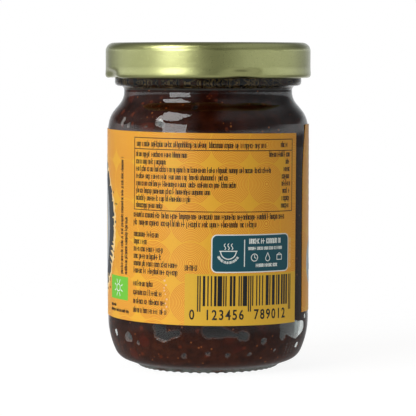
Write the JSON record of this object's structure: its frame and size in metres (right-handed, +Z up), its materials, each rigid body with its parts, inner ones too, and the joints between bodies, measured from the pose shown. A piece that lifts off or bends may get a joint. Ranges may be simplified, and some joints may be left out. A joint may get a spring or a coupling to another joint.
{
  "type": "jar of soybean paste",
  "caption": "Small round clear glass jar filled with dark soybean paste, with a wrapped paper label and a satin gold metal twist-off lid.",
  "frame": {"origin": "centre of the circle that the jar stands on", "axes": "+Z up along the jar's axis; -Y faces the back panel of the label, which carries the table and the bars"},
  "size_m": [0.056, 0.056, 0.0883],
  "materials": {
    "glass": "gloss",
    "paste": "satin",
    "lid_metal": "satin",
    "gasket": "matte",
    "label_paper": "satin"
  },
  "bodies": {
    "root": {"glass_jar": "glass", "paste": "paste", "lid": "lid_metal", "lid_gasket": "gasket", "label": "label_paper"}
  },
  "joints": []
}
